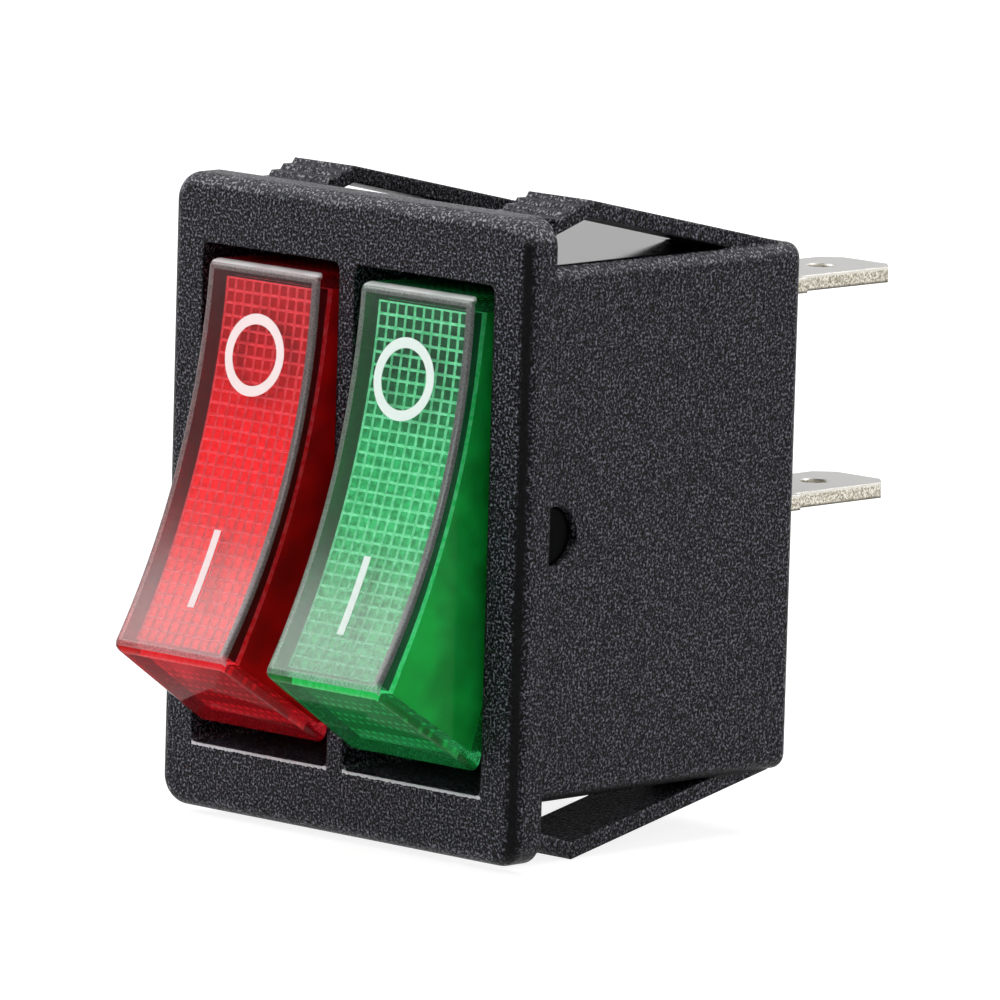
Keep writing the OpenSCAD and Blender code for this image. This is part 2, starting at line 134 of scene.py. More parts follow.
# Painted shade: the upright rounds get no painted glints and stay black beside the glinting walls.
sideways = add(tree, "ShaderNodeMath", {0: facing["X"]}, operation="ABSOLUTE").outputs[0]
before_shaded_round = add(tree, "ShaderNodeMapRange", {0: sideways, 1: shaded_round_from, 2: shaded_round_full, 3: 1, 4: 0}).outputs[0]
past_shaded_round = add(tree, "ShaderNodeMapRange", {0: sideways, 1: shaded_round_fade, 2: shaded_round_end, 3: 0, 4: 1}).outputs[0]
walls = add(tree, "ShaderNodeMath", {0: before_shaded_round, 1: past_shaded_round}, operation="MAXIMUM").outputs[0]
textured = add(tree, "ShaderNodeMath", {
    0: walls, 1: polished}, operation="SUBTRACT", use_clamp=True).outputs[0]
painted_wall_glint = add(tree, "ShaderNodeMath", {0: painted_glint, 1: textured}, operation="MULTIPLY").outputs[0]
skin = add(tree, "ShaderNodeMix", {
    0: painted_wall_glint, 6: linear("#010103"), 7: linear("#9291a0")}, data_type="RGBA").outputs[2]
edge_highlight_tone = add(tree, "ShaderNodeMix", {
    0: painted_glint, 6: linear("#3c3c42"), 7: linear("#ccccd0")}, data_type="RGBA").outputs[2]
skin_with_edge_highlight = add(tree, "ShaderNodeMix", {0: painted_edge_highlight, 6: skin, 7: edge_highlight_tone}, data_type="RGBA").outputs[2]
# A ragged painted highlight runs along the lower edges of the openings.
beside = add(tree, "ShaderNodeMath", {0: axes["X"]}, operation="ABSOLUTE").outputs[0]
under = add(tree, "ShaderNodeMath", {
    0: beside, 1: opening_x, 2: opening_half_w}, operation="COMPARE").outputs[0]
ragged = add(tree, "ShaderNodeMath", {
    0: grain, 1: opening_highlight_wander, 2: axes["Z"]}, operation="MULTIPLY_ADD").outputs[0]
at_edge = add(tree, "ShaderNodeMath", {
    0: ragged, 1: opening_low + opening_highlight_rise, 2: opening_highlight_half}, operation="COMPARE").outputs[0]
at_face = add(tree, "ShaderNodeMath", {0: axes["Y"], 1: bezel_face}, operation="LESS_THAN").outputs[0]
low_edge = add(tree, "ShaderNodeMath", {0: under, 1: at_edge}, operation="MULTIPLY").outputs[0]
painted_opening_highlight = add(tree, "ShaderNodeMath", {0: low_edge, 1: at_face}, operation="MULTIPLY").outputs[0]
tone = add(tree, "ShaderNodeMix", {0: painted_opening_highlight, 6: skin_with_edge_highlight, 7: linear("#d4d4d8")}, data_type="RGBA").outputs[2]
tree.links.new(tone, shader.inputs["Base Color"])
rough = add(tree, "ShaderNodeMapRange", {0: polished, 1: 0, 2: 1, 3: grain_rough, 4: slide_rough}).outputs[0]
tree.links.new(rough, shader.inputs["Roughness"])
relief = add(tree, "ShaderNodeMapRange", {0: polished, 1: 0, 2: 1, 3: grain_relief, 4: slide_relief}).outputs[0]
bump = add(tree, "ShaderNodeBump", {
    "Strength": relief, "Distance": grain_depth, "Height": grain, "Normal": soft_normal})
tree.links.new(bump.outputs["Normal"], shader.inputs["Normal"])
dress(black_nylon, "housing")

# Terminals. Blades stamped from 0.8 mm brass strip, tin plated and pushed in through slots in the
# rear wall. Rolling lines and shear marks are finer than drawn here, where they are made to show.
rolling, roll_stretch, rolled_from, rolled_to = 0.25 * mm, 0.06, 0.3, 0.7
shear_grain, shear_depth, shear_relief = 0.1 * mm, 0.02 * mm, 0.25
tear_from, tear_to = 0.38, 0.62
sheet_from, sheet_to = 0.5, 0.8
upper_blade, lower_blade = 10.7 * mm, -0.4 * mm
top_highlight_from, top_highlight_to = 0.22 * mm, 0.32 * mm
foot_shade_from, foot_shade_to = -0.24 * mm, -0.36 * mm
blade_round = 0.2 * mm

# To the eye the plating is a satin grey on the rolled faces and a grainy cream on the sheared edges.
tinned_brass, tree, shader = new_finish("tin_plated_brass", {"Metallic": 1})
place = add(tree, "ShaderNodeTexCoord").outputs
streaks = add(tree, "ShaderNodeMapping", {
    "Vector": place["Object"], "Scale": (1, roll_stretch, 1)}).outputs[0]
rolled = add(tree, "ShaderNodeTexNoise", {
    "Vector": streaks, "Scale": 1 / rolling, "Detail": 3}).outputs["Fac"]
sheared = add(tree, "ShaderNodeTexNoise", {
    "Vector": place["Object"], "Scale": 1 / shear_grain, "Detail": 3}).outputs["Fac"]
upward = add(tree, "ShaderNodeSeparateXYZ", {"Vector": place["Normal"]}).outputs["Z"]
flatness = add(tree, "ShaderNodeMath", {0: upward}, operation="ABSOLUTE").outputs[0]
sheet = add(tree, "ShaderNodeMapRange", {0: flatness, 1: sheet_from, 2: sheet_to, 3: 0, 4: 1}).outputs[0]
face_tone = add(tree, "ShaderNodeMix", {
    0: rolled, 6: linear("#908f8d"), 7: linear("#bcbbb9")}, data_type="RGBA").outputs[2]
# Painted highlight: a bright line along the top of each sheared edge; painted shade: a dark one at its foot.
tear = add(tree, "ShaderNodeMapRange", {0: sheared, 1: tear_from, 2: tear_to, 3: 0, 4: 1}).outputs[0]
torn_tone = add(tree, "ShaderNodeMix", {
    0: tear, 6: linear("#8f8876"), 7: linear("#ece7da")}, data_type="RGBA").outputs[2]
blade_z = add(tree, "ShaderNodeSeparateXYZ", {"Vector": place["Object"]}).outputs["Z"]
is_upper = add(tree, "ShaderNodeMath", {0: blade_z, 1: upper_blade / 2}, operation="GREATER_THAN").outputs[0]
blade_middle = add(tree, "ShaderNodeMath", {
    0: is_upper, 1: upper_blade - lower_blade, 2: lower_blade}, operation="MULTIPLY_ADD").outputs[0]
over_middle = add(tree, "ShaderNodeMath", {0: blade_z, 1: blade_middle}, operation="SUBTRACT").outputs[0]
painted_top_highlight = add(tree, "ShaderNodeMapRange", {
    0: over_middle, 1: top_highlight_from, 2: top_highlight_to, 3: 0, 4: 1}).outputs[0]
painted_foot_shade = add(tree, "ShaderNodeMapRange", {0: over_middle, 1: foot_shade_from, 2: foot_shade_to, 3: 0, 4: 1}).outputs[0]
topped = add(tree, "ShaderNodeMix", {
    0: painted_top_highlight, 6: torn_tone, 7: linear("#f6f3ea")}, data_type="RGBA").outputs[2]
edge_tone = add(tree, "ShaderNodeMix", {
    0: painted_foot_shade, 6: topped, 7: linear("#5c574c")}, data_type="RGBA").outputs[2]
tone = add(tree, "ShaderNodeMix", {0: sheet, 6: edge_tone, 7: face_tone}, data_type="RGBA").outputs[2]
tree.links.new(tone, shader.inputs["Base Color"])
satin = add(tree, "ShaderNodeMapRange", {0: rolled, 1: rolled_from, 2: rolled_to, 3: 0.28, 4: 0.42}).outputs[0]
tree.links.new(satin, shader.inputs["Roughness"])
soft_normal = add(tree, "ShaderNodeBevel", {"Radius": blade_round}, samples=edge_samples).outputs["Normal"]
bump = add(tree, "ShaderNodeBump", {
    "Strength": shear_relief, "Distance": shear_depth, "Height": sheared, "Normal": soft_normal})
tree.links.new(bump.outputs["Normal"], shader.inputs["Normal"])
dress(tinned_brass, "load_terminal_red", "load_terminal_green", "common_terminal_red", "common_terminal_green")

# Contact rivets. Silver alloy heads, cold-formed and riveted to the load terminals and the blades.
# To the eye a new contact is bright, with a faint yellow tarnish in patches.
tarnish_patch, tarnish_from, tarnish_to = 0.8 * mm, 0.3, 0.7

silver, tree, shader = new_finish("contact_silver", {"Metallic": 1})
place = add(tree, "ShaderNodeTexCoord").outputs["Object"]
patches = add(tree, "ShaderNodeTexNoise", {
    "Vector": place, "Scale": 1 / tarnish_patch, "Detail": 4}).outputs["Fac"]
tone = add(tree, "ShaderNodeMix", {
    0: patches, 6: linear("#c9c4b8"), 7: linear("#f1f0ec")}, data_type="RGBA").outputs[2]
tree.links.new(tone, shader.inputs["Base Color"])
satin = add(tree, "ShaderNodeMapRange", {
    0: patches, 1: tarnish_from, 2: tarnish_to, 3: 0.32, 4: 0.18}).outputs[0]
tree.links.new(satin, shader.inputs["Roughness"])
dress(silver, "fixed_contact_red", "fixed_contact_green", "moving_contact_red", "moving_contact_green")

# Contact blades. Rolled copper strip, bent to a shallow V that rocks on the edge of the common
# terminal. To the eye it is a satin orange brown with streaks along the strip, drawn coarser than
# rolling leaves them so that they show.
strip_stretch = 0.05

copper, tree, shader = new_finish("rolled_copper", {"Metallic": 1})
place = add(tree, "ShaderNodeTexCoord").outputs["Object"]
streaks = add(tree, "ShaderNodeMapping", {"Vector": place, "Scale": (1, 1, strip_stretch)}).outputs[0]
rolled = add(tree, "ShaderNodeTexNoise", {
    "Vector": streaks, "Scale": 1 / rolling, "Detail": 3}).outputs["Fac"]
tone = add(tree, "ShaderNodeMix", {
    0: rolled, 6: linear("#a8623e"), 7: linear("#e0a07a")}, data_type="RGBA").outputs[2]
tree.links.new(tone, shader.inputs["Base Color"])
satin = add(tree, "ShaderNodeMapRange", {0: rolled, 1: rolled_from, 2: rolled_to, 3: 0.38, 4: 0.24}).outputs[0]
tree.links.new(satin, shader.inputs["Roughness"])
dress(copper, "contact_blade_red", "contact_blade_green")

# Plungers. Round-tipped pins moulded in natural acetal, which slide in the rockers' posts.
# To the eye acetal is a waxy off-white that lets a little light in, with faint flow marks.
flow_size, light_reach = 1.2 * mm, 0.4 * mm

acetal, tree, shader = new_finish("natural_acetal", {
    "Roughness": 0.35, "IOR": 1.48, "Subsurface Weight": 0.3, "Subsurface Scale": light_reach})
place = add(tree, "ShaderNodeTexCoord").outputs["Object"]
flow = add(tree, "ShaderNodeTexNoise", {
    "Vector": place, "Scale": 1 / flow_size, "Detail": 2}).outputs["Fac"]
tone = add(tree, "ShaderNodeMix", {
    0: flow, 6: linear("#dcd9cd"), 7: linear("#f0eee6")}, data_type="RGBA").outputs[2]
tree.links.new(tone, shader.inputs["Base Color"])
dress(acetal, "plunger_red", "plunger_green")

# Springs. Coiled from drawn stainless wire and pressed between the rocker's post and the plunger, so
# a coil gets shorter as its plunger slides in.
pole_x, pivot = 5.35 * mm, 2.1 * mm
tilt = math.radians(17.8)
post_seat, seat_gap = -4.5 * mm, 0.05 * mm
coil_d, wire_d, coil_l = 2.6 * mm, 0.4 * mm, 6.4 * mm
coil_turns, turn_steps, wire_sides = 6, 32, 12
draw_from, draw_to = 0.3, 0.7


def new_object(name, mesh):
    """An object in the scene that shows a mesh"""
    object_ = bpy.data.objects.new(name, mesh)
    bpy.context.scene.collection.objects.link(object_)
    return object_


def plain_mesh(object_):
    """The object's mesh with its modifiers applied; the object is removed"""
    bpy.context.view_layer.update()
    graph = bpy.context.evaluated_depsgraph_get()
    mesh = bpy.data.meshes.new_from_object(object_.evaluated_get(graph))
    bpy.data.objects.remove(object_)
    return mesh


def grown_mesh(name, tree, sizes):
    """The mesh that a tree of geometry nodes makes from its named sizes"""
    object_ = new_object(name, bpy.data.meshes.new(name))
    modifier = object_.modifiers.new(name, "NODES")
    modifier.node_group = tree
    for socket in tree.interface.items_tree:
        if socket.in_out == "INPUT":
            modifier[socket.identifier] = sizes[socket.name]
    return plain_mesh(object_)


def coil_tree(finish):
    """Geometry nodes for a coil: round wire swept along a helix"""
    nodes = bpy.data.node_groups.new("coil_spring", "GeometryNodeTree")
    nodes.interface.new_socket("Coil", in_out="OUTPUT", socket_type="NodeSocketGeometry")
    for name, kind in (("Turns", "Float"), ("Steps a turn", "Int"), ("Middle radius", "Float"),
                       ("Rise", "Float"), ("Wire radius", "Float"), ("Wire sides", "Int")):
        nodes.interface.new_socket(name, in_out="INPUT", socket_type="NodeSocket" + kind)
    size = add(nodes, "NodeGroupInput").outputs
    helix = add(nodes, "GeometryNodeCurveSpiral", {
        "Resolution": size["Steps a turn"], "Rotations": size["Turns"],
        "Start Radius": size["Middle radius"], "End Radius": size["Middle radius"], "Height": size["Rise"]})
    section = add(nodes, "GeometryNodeCurvePrimitiveCircle", {
        "Resolution": size["Wire sides"], "Radius": size["Wire radius"]})
    wire = add(nodes, "GeometryNodeCurveToMesh", {
        "Curve": helix.outputs["Curve"], "Profile Curve": section.outputs["Curve"], "Fill Caps": True})
    whole = add(nodes, "GeometryNodeRealizeInstances", {"Geometry": wire.outputs["Mesh"]})
    drawn = add(nodes, "GeometryNodeSetMaterial", {"Geometry": whole.outputs["Geometry"], "Material": finish})
    add(nodes, "NodeGroupOutput", {0: drawn.outputs["Geometry"]})
    return nodes


# To the eye drawn wire is a bright grey. Its lines are too fine to show, so they are given as a
# coarser change of gloss.
drawn_wire, tree, shader = new_finish("drawn_stainless_wire", {"Metallic": 1})
place = add(tree, "ShaderNodeTexCoord").outputs["Object"]
lines = add(tree, "ShaderNodeTexNoise", {
    "Vector": place, "Scale": 1 / shear_grain, "Detail": 3}).outputs["Fac"]
tone = add(tree, "ShaderNodeMix", {
    0: lines, 6: linear("#a3a5a8"), 7: linear("#cfd1d3")}, data_type="RGBA").outputs[2]
tree.links.new(tone, shader.inputs["Base Color"])
satin = add(tree, "ShaderNodeMapRange", {0: lines, 1: draw_from, 2: draw_to, 3: 0.18, 4: 0.34}).outputs[0]
tree.links.new(satin, shader.inputs["Roughness"])

tilted = Matrix.Rotation(-tilt, 4, "X")
seats = {"red": Matrix.Translation((-pole_x, pivot, 0)) @ tilted,
         "green": Matrix.Translation((pole_x, pivot, 0)) @ tilted}
coiled = grown_mesh("coil_spring", coil_tree(drawn_wire), {
    "Turns": coil_turns, "Steps a turn": turn_steps, "Middle radius": (coil_d - wire_d) / 2,
    "Rise": coil_l - wire_d, "Wire radius": wire_d / 2, "Wire sides": wire_sides})
coil_foot = Vector((0, post_seat + seat_gap, 0))
wire_foot = coil_foot + Vector((0, wire_d / 2, 0))
coiled.transform(Matrix.Translation(wire_foot) @ Matrix.Rotation(-math.pi / 2, 4, "X"))
coiled.shade_smooth()
for tint, seat in seats.items():
    mesh = coiled.copy()
    mesh.transform(seat)
    coil = new_object(tint + "_coil_spring", mesh)
    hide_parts("spring_" + tint)
    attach(coil, "rocker_" + tint)
    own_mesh(coil)
bpy.data.meshes.remove(coiled)

# Rockers. Hollow caps moulded in clear tinted polycarbonate: the hollow face is frosted on the
# outside and has a waffle of small flat-topped lenses on the inside, and the sides are polished.
# A rib, a post for the spring and two lugs with pivot pins are part of the moulding.
base_w, base_l = 9 * mm, 24.3 * mm
rim = -0.3 * mm
reach, sag = 8.05 * mm, 1.37 * mm
side_slope, end_slope = math.tan(math.radians(4.5)), math.tan(math.radians(15))
wall, face_wall = 0.9 * mm, 0.65 * mm
face_half = base_l / 2 - (reach + rim) * end_slope
face_r = (face_half ** 2 + sag ** 2) / (2 * sag)
face_centre = face_r + reach - sag
face_steps, fit_steps, turns = 40, 8, 48
border, border_slack = 0.45 * mm, 0.1 * mm
edge_round, round_steps = 0.5 * mm, 5
end_edge, side_edge, corner_edge = 1, 0.45, 0.8
end_tilt, face_tilt, crown_tilt = 0.4, 0.4, 0.3
lens_columns, lens_rows = 10, 30
lens_height, lens_top = 0.12 * mm, 0.76
weld, end_reach = 0.001 * mm, 1 * mm
crease = math.radians(25)

# All are one polycarbonate, given a finish by its part of the tool. To the eye:
# polished and heel are clear sides and ends; frosted is the pale, grainy border of the face;
# window is clearer over the waffle, with a soft sheen; lens and groove are the waffle's deep
# coloured tops and the lines between them, which are painted pale as a painted reflection; pin is
# the lugs and a strip under the face, tinted near black as painted shade; below it is a bright
# strip of painted light; edge is the deep coloured round of an end, and the upper one has a
# painted white highlight; inner and end are the inside walls, the end ones with rows of dots.
finish_values = {
    "polished": {"Transmission Weight": 0.9, "Roughness": 0.06, "IOR": 1.15},
    "frosted": {"Transmission Weight": 0.86, "Roughness": 0.3, "IOR": 1.5, "Specular IOR Level": 0.3},
    "window": {"Transmission Weight": 0.98, "Roughness": 0.15, "IOR": 1.1, "Coat Weight": 0.6,
               "Coat Roughness": 0.28, "Coat IOR": 1.5},
    "lens": {"Transmission Weight": 0.05, "Roughness": 0.2, "IOR": 1.15},
    # The grooves' pale colour is a painted reflection of light in the lenses' slopes.
    "groove": {"Roughness": 0.3, "IOR": 1.15},
    # Painted shade: the lugs and a strip under the face are tinted near black.
    "pin": {"Transmission Weight": 0.98, "Roughness": 0.3, "IOR": 1.1},
    "edge": {"Transmission Weight": 0.9, "Roughness": 0.08, "IOR": 1.2},
    "inner": {"Transmission Weight": 0.3, "Roughness": 0.2, "IOR": 1.15},
    "end": {"Transmission Weight": 0.3, "Roughness": 0.2, "IOR": 1.15},
    # Painted light: a pale strip on the side walls stands for light along the waffle's edge.
    "painted_light_strip": {"Roughness": 0.3, "IOR": 1.15},
    # Painted highlight: the upper end's round is painted white, under a real clear coat.
    "painted_highlight_round": {"Transmission Weight": 0.1, "Roughness": 0.2, "IOR": 1.3, "Coat Weight": 1,
              "Coat Roughness": 0.06, "Coat IOR": 1.585},
    "heel": {"Transmission Weight": 0.9, "Roughness": 0.06, "IOR": 1.05}}
slot_of = {kind: i for i, kind in enumerate(finish_values)}
# Each strip of a wall goes down by this share of the way to the rim.
# The first strip is tinted near black as painted shade, the second pale as painted light.
wall_strips = ((0.1, "pin"), (0.05, "painted_light_strip"), (1, "inner"))


def face_y(radius, z):
    """Depth of the face, or of its inside at a larger radius, at a height along the rocker"""
    return math.sqrt(radius ** 2 - z ** 2) - face_centre


def half_width(y):
    """Half the rocker's width at a depth, with the sides' draft"""
    return base_w / 2 + (y - rim) * side_slope


def to_mesh(name, shape):
    """A finished bmesh as a mesh"""
    mesh = bpy.data.meshes.new(name)
    shape.to_mesh(mesh)
    shape.free()
    return mesh


def outer_skin():
    """Outside of a level rocker about its pivot, open at the rim, with round edges"""
    shape = bmesh.new()
    weight = shape.edges.layers.float.new("bevel_weight_edge")
    rows = []
    for i in range(face_steps + 1):
        share = 2 * i / face_steps - 1
        z = share * face_half
        y = face_y(face_r, z)
        w = half_width(y)
        foot = share * base_l / 2
        corners = ((-base_w / 2, rim, foot), (-w, y, z), (border - w, y, z), (w - border, y, z),
                   (w, y, z), (base_w / 2, rim, foot))
        rows.append([shape.verts.new(corner) for corner in corners])
    for low, high in zip(rows, rows[1:]):
        at_end = max(abs(low[1].co.z), abs(high[1].co.z)) > face_half - border + border_slack
        middle = "frosted" if at_end else "window"
        for k, kind in enumerate(("polished", "frosted", middle, "frosted", "polished")):
            face = shape.faces.new((low[k], low[k + 1], high[k + 1], high[k]))
            face.material_index = slot_of[kind]
    for row in (rows[0], rows[-1]):
        shape.faces.new(row).material_index = slot_of["heel"]
    bmesh.ops.recalc_face_normals(shape, faces=shape.faces)
    for low, high in zip(rows, rows[1:]):
        for k in (1, 4):
            shape.edges.get((low[k], high[k]))[weight] = side_edge
    for row in (rows[0], rows[-1]):
        for k in (1, 2, 3):
            shape.edges.get((row[k], row[k + 1]))[weight] = end_edge
        for k in (0, 4):
            shape.edges.get((row[k], row[k + 1]))[weight] = corner_edge
    skin = new_object("rocker_skin", to_mesh("rocker_skin", shape))
    for _ in finish_values:
        skin.data.materials.append(None)
    round_edges = skin.modifiers.new("round_edges", "BEVEL")
    round_edges.limit_method = "WEIGHT"
    round_edges.width = edge_round
    round_edges.segments = round_steps
    round_edges.material = slot_of["edge"]
    round_edges.use_clamp_overlap = False
    mesh = plain_mesh(skin)
    for face in mesh.polygons:
        if face.material_index == slot_of["edge"] and abs(face.normal.z) < end_tilt:
            face.material_index = slot_of["frosted" if face.normal.y < -face_tilt else "polished"]
        # The upward-facing round of the upper end gets the painted white highlight.
        elif face.material_index == slot_of["edge"] and face.normal.z > 0 and face.normal.y < -crown_tilt:
            face.material_index = slot_of["painted_highlight_round"]
    return mesh


def waffle_tree(lens, groove):
    """Geometry nodes for the lens sheet: a grid of flat-topped lenses, bent to the face's inside"""
    nodes = bpy.data.node_groups.new("waffle_lens", "GeometryNodeTree")
    nodes.interface.new_socket("Sheet", in_out="OUTPUT", socket_type="NodeSocketGeometry")
    for name, kind in (("Columns", "Int"), ("Rows", "Int"), ("Width", "Float"), ("Length", "Float"),
                       ("Lens height", "Float"), ("Lens top", "Float"), ("Inside radius", "Float"),
                       ("Face centre", "Float"), ("Narrowing", "Float"), ("Middle depth", "Float")):
        nodes.interface.new_socket(name, in_out="INPUT", socket_type="NodeSocket" + kind)
    size = add(nodes, "NodeGroupInput").outputs
    column_ends = add(nodes, "ShaderNodeMath", {0: size["Columns"], 1: 1}, operation="ADD").outputs[0]
    row_ends = add(nodes, "ShaderNodeMath", {0: size["Rows"], 1: 1}, operation="ADD").outputs[0]
    grid = add(nodes, "GeometryNodeMeshGrid", {
        "Size X": size["Width"], "Size Y": size["Length"], "Vertices X": column_ends, "Vertices Y": row_ends})
    lenses = add(nodes, "GeometryNodeExtrudeMesh", {
        "Mesh": grid.outputs["Mesh"], "Offset Scale": size["Lens height"], "Individual": True}, mode="FACES")
    tapered = add(nodes, "GeometryNodeScaleElements", {
        "Geometry": lenses.outputs["Mesh"], "Selection": lenses.outputs["Top"], "Scale": size["Lens top"]},
        domain="FACE")
    spot = add(nodes, "GeometryNodeInputPosition").outputs[0]
    flat = add(nodes, "ShaderNodeSeparateXYZ", {"Vector": spot}).outputs
    radius = add(nodes, "ShaderNodeMath", {0: size["Inside radius"], 1: flat["Z"]}, operation="ADD").outputs[0]
    radius_2 = add(nodes, "ShaderNodeMath", {0: radius, 1: radius}, operation="MULTIPLY").outputs[0]
    along_2 = add(nodes, "ShaderNodeMath", {0: flat["Y"], 1: flat["Y"]}, operation="MULTIPLY").outputs[0]
    squared = add(nodes, "ShaderNodeMath", {0: radius_2, 1: along_2}, operation="SUBTRACT").outputs[0]
    bow = add(nodes, "ShaderNodeMath", {0: squared}, operation="SQRT").outputs[0]
    depth = add(nodes, "ShaderNodeMath", {0: bow, 1: size["Face centre"]}, operation="SUBTRACT").outputs[0]
    below = add(nodes, "ShaderNodeMath", {0: depth, 1: size["Middle depth"]}, operation="SUBTRACT").outputs[0]
    widening = add(nodes, "ShaderNodeMath", {
        0: below, 1: size["Narrowing"], 2: 1}, operation="MULTIPLY_ADD").outputs[0]
    widened = add(nodes, "ShaderNodeMath", {0: flat["X"], 1: widening}, operation="MULTIPLY").outputs[0]
    bent = add(nodes, "ShaderNodeCombineXYZ", {"X": widened, "Y": depth, "Z": flat["Y"]})
    sheet = add(nodes, "GeometryNodeSetPosition", {
        "Geometry": tapered.outputs["Geometry"], "Position": bent.outputs["Vector"]})
    whole = add(nodes, "GeometryNodeRealizeInstances", {"Geometry": sheet.outputs["Geometry"]})
    grooved = add(nodes, "GeometryNodeSetMaterial", {"Geometry": whole.outputs["Geometry"], "Material": groove})
    topped = add(nodes, "GeometryNodeSetMaterial", {
        "Geometry": grooved.outputs["Geometry"], "Selection": lenses.outputs["Top"], "Material": lens})
    add(nodes, "NodeGroupOutput", {0: topped.outputs["Geometry"]})
    return nodes


def lens_sheet(half_w, half_l, middle, finishes):
    """The waffle on the inside of a level rocker's face, as an open sheet"""
    sizes = {"Columns": lens_columns, "Rows": lens_rows, "Width": 2 * half_w, "Length": 2 * half_l,
             "Lens height": lens_height, "Lens top": lens_top, "Inside radius": face_r + face_wall,
             "Face centre": face_centre, "Narrowing": side_slope / half_w, "Middle depth": middle}
    return grown_mesh("waffle_lens", waffle_tree(finishes["lens"], finishes["groove"]), sizes)


def hollow_shell(finishes):
    """A level rocker's outside and inside, closed at the rim"""
    middle = face_y(face_r + face_wall, 0)
    half_w = half_width(middle) - wall
    half_l = face_half
    for _ in range(fit_steps):
        half_l = base_l / 2 - wall + (face_y(face_r + face_wall, half_l) - rim) * end_slope
    shape = bmesh.new()
    sheet = lens_sheet(half_w, half_l, middle, finishes)
    shape.from_mesh(sheet)
    bmesh.ops.remove_doubles(shape, verts=shape.verts, dist=weld)
    slots = {finish: i for i, finish in enumerate(finishes.values())}
    for face in shape.faces:
        face.material_index = slots[sheet.materials[face.material_index]]
    for down, kind in wall_strips:
        rims = [e for e in shape.edges if e.is_boundary]
        walls = bmesh.ops.extrude_edge_only(shape, edges=rims)["geom"]
        for vert in [v for v in walls if isinstance(v, bmesh.types.BMVert)]:
            x, y, z = vert.co
            rim_x = x * (base_w / 2 - wall) / (half_width(y) - wall)
            rim_z = z
            if abs(z) > half_l - end_reach:
                rim_z = z * (base_l / 2 - wall) / (base_l / 2 - wall + (y - rim) * end_slope)
            vert.co = Vector((x, y, z)).lerp(Vector((rim_x, rim, rim_z)), down)
        for face in [f for f in walls if isinstance(f, bmesh.types.BMFace)]:
            face.normal_update()
            at_end = kind == "inner" and abs(face.normal.z) > abs(face.normal.x)
            face.material_index = slot_of["end" if at_end else kind]
    shape.from_mesh(outer_skin())
    bmesh.ops.triangle_fill(shape, edges=[e for e in shape.edges if e.is_boundary], use_beauty=True)
    bmesh.ops.recalc_face_normals(shape, faces=shape.faces)
    return to_mesh("rocker_shell", shape)


def turned(name, profile, axis):
    """A closed solid turned about X or Y from points of place along the axis and radius"""
    shape = bmesh.new()
    rings = []
    for along, radius in profile:
        ring = []
        for i in range(turns if radius else 1):
            angle = 2 * math.pi * i / turns
            a, b = radius * math.cos(angle), radius * math.sin(angle)
            ring.append(shape.verts.new((along, a, b) if axis == "X" else (a, along, b)))
        rings.append(ring)
    for one, two in zip(rings, rings[1:]):
        for i in range(turns):
            j = i + 1
            corners = [one[i % len(one)], one[j % len(one)], two[j % len(two)], two[i % len(two)]]
            shape.faces.new(list(dict.fromkeys(corners)))
    bmesh.ops.recalc_face_normals(shape, faces=shape.faces)
    return to_mesh(name, shape)


def rocker_mesh(finishes):
    """A level rocker about its pivot: the shell with its rib, post, lugs, pins and spring bore"""
    rib_half, rib_w, gap = 0.5 * mm, 6.2 * mm, 0.02 * mm
    post_r, post_end = 2.5 * mm, 6.3 * mm
    bore_r, seat, bore_out = 1.65 * mm, 4.5 * mm, 1 * mm
    lug_r, pin_r, pin_out, pin_lead = 2.3 * mm, 1.45 * mm, 0.7 * mm, 0.1 * mm
    ceiling = face_y(face_r + face_wall + lens_height, 0) + gap
    rib = bmesh.new()
    bmesh.ops.create_cube(rib, size=1, matrix=Matrix.Translation((0, ceiling / 2, 0))
                          @ Matrix.Diagonal((rib_w, -ceiling, 2 * rib_half, 1)))
    post = ((ceiling, 0), (ceiling, post_r), (post_end - pin_lead, post_r), (post_end, post_r - pin_lead),
            (post_end, 0))
    solids = [("UNION", to_mesh("rib", rib), "inner"), ("UNION", turned("post", post, "Y"), "inner")]
    for side in (-1, 1):
        lug, pin = side * base_w / 2, side * (base_w / 2 + pin_out)
        profile = ((lug - side * wall, 0), (lug - side * wall, lug_r), (lug, lug_r), (lug, pin_r),
                   (pin - side * pin_lead, pin_r), (pin, pin_r - pin_lead), (pin, 0))
        solids.append(("UNION", turned("lug", profile, "X"), "pin"))
    bore = ((-seat, 0), (-seat, bore_r), (post_end + bore_out, bore_r), (post_end + bore_out, 0))
    solids.append(("DIFFERENCE", turned("bore", bore, "Y"), "inner"))
    rocker = new_object("rocker", hollow_shell(finishes))
    for finish in finishes.values():
        rocker.data.materials.append(finish)
    tools = []
    for operation, mesh, kind in solids:
        for face in mesh.polygons:
            face.material_index = slot_of[kind]
        tool = new_object("rocker_tool", mesh)
        tools.append(tool)
        step = rocker.modifiers.new("step", "BOOLEAN")
        step.operation = operation
        step.solver = "EXACT"
        step.object = tool
    mesh = plain_mesh(rocker)
    for tool in tools:
        bpy.data.objects.remove(tool)
    mesh.shade_smooth()
    mesh.set_sharp_from_angle(angle=crease)
    return mesh


# A blasted tool is finer than this frost grain, which is drawn coarser to show.
flow_mark, lens_ripple, end_dots = 2.5 * mm, 0.3 * mm, 0.5 * mm
frost_grain, frost_depth, frost_relief = 0.09 * mm, 0.02 * mm, 0.25
grain_of = {"frosted": frost_grain, "window": frost_grain, "lens": lens_ripple, "groove": lens_ripple,
            "painted_light_strip": lens_ripple}
spread_from, spread_to = 0.35, 0.65
dot_rim, dot_core = 0.4, 0.2
# Painted shade: the waffle gets darker towards the lower end of the face, and its lenses towards the upper one
# too.
waffle_low, waffle_turn, waffle_high = -8 * mm, 3 * mm, 8 * mm
low_shade, high_shade = {"red": 0.66, "green": 0.44}, {"red": 0.44, "green": 0.14}


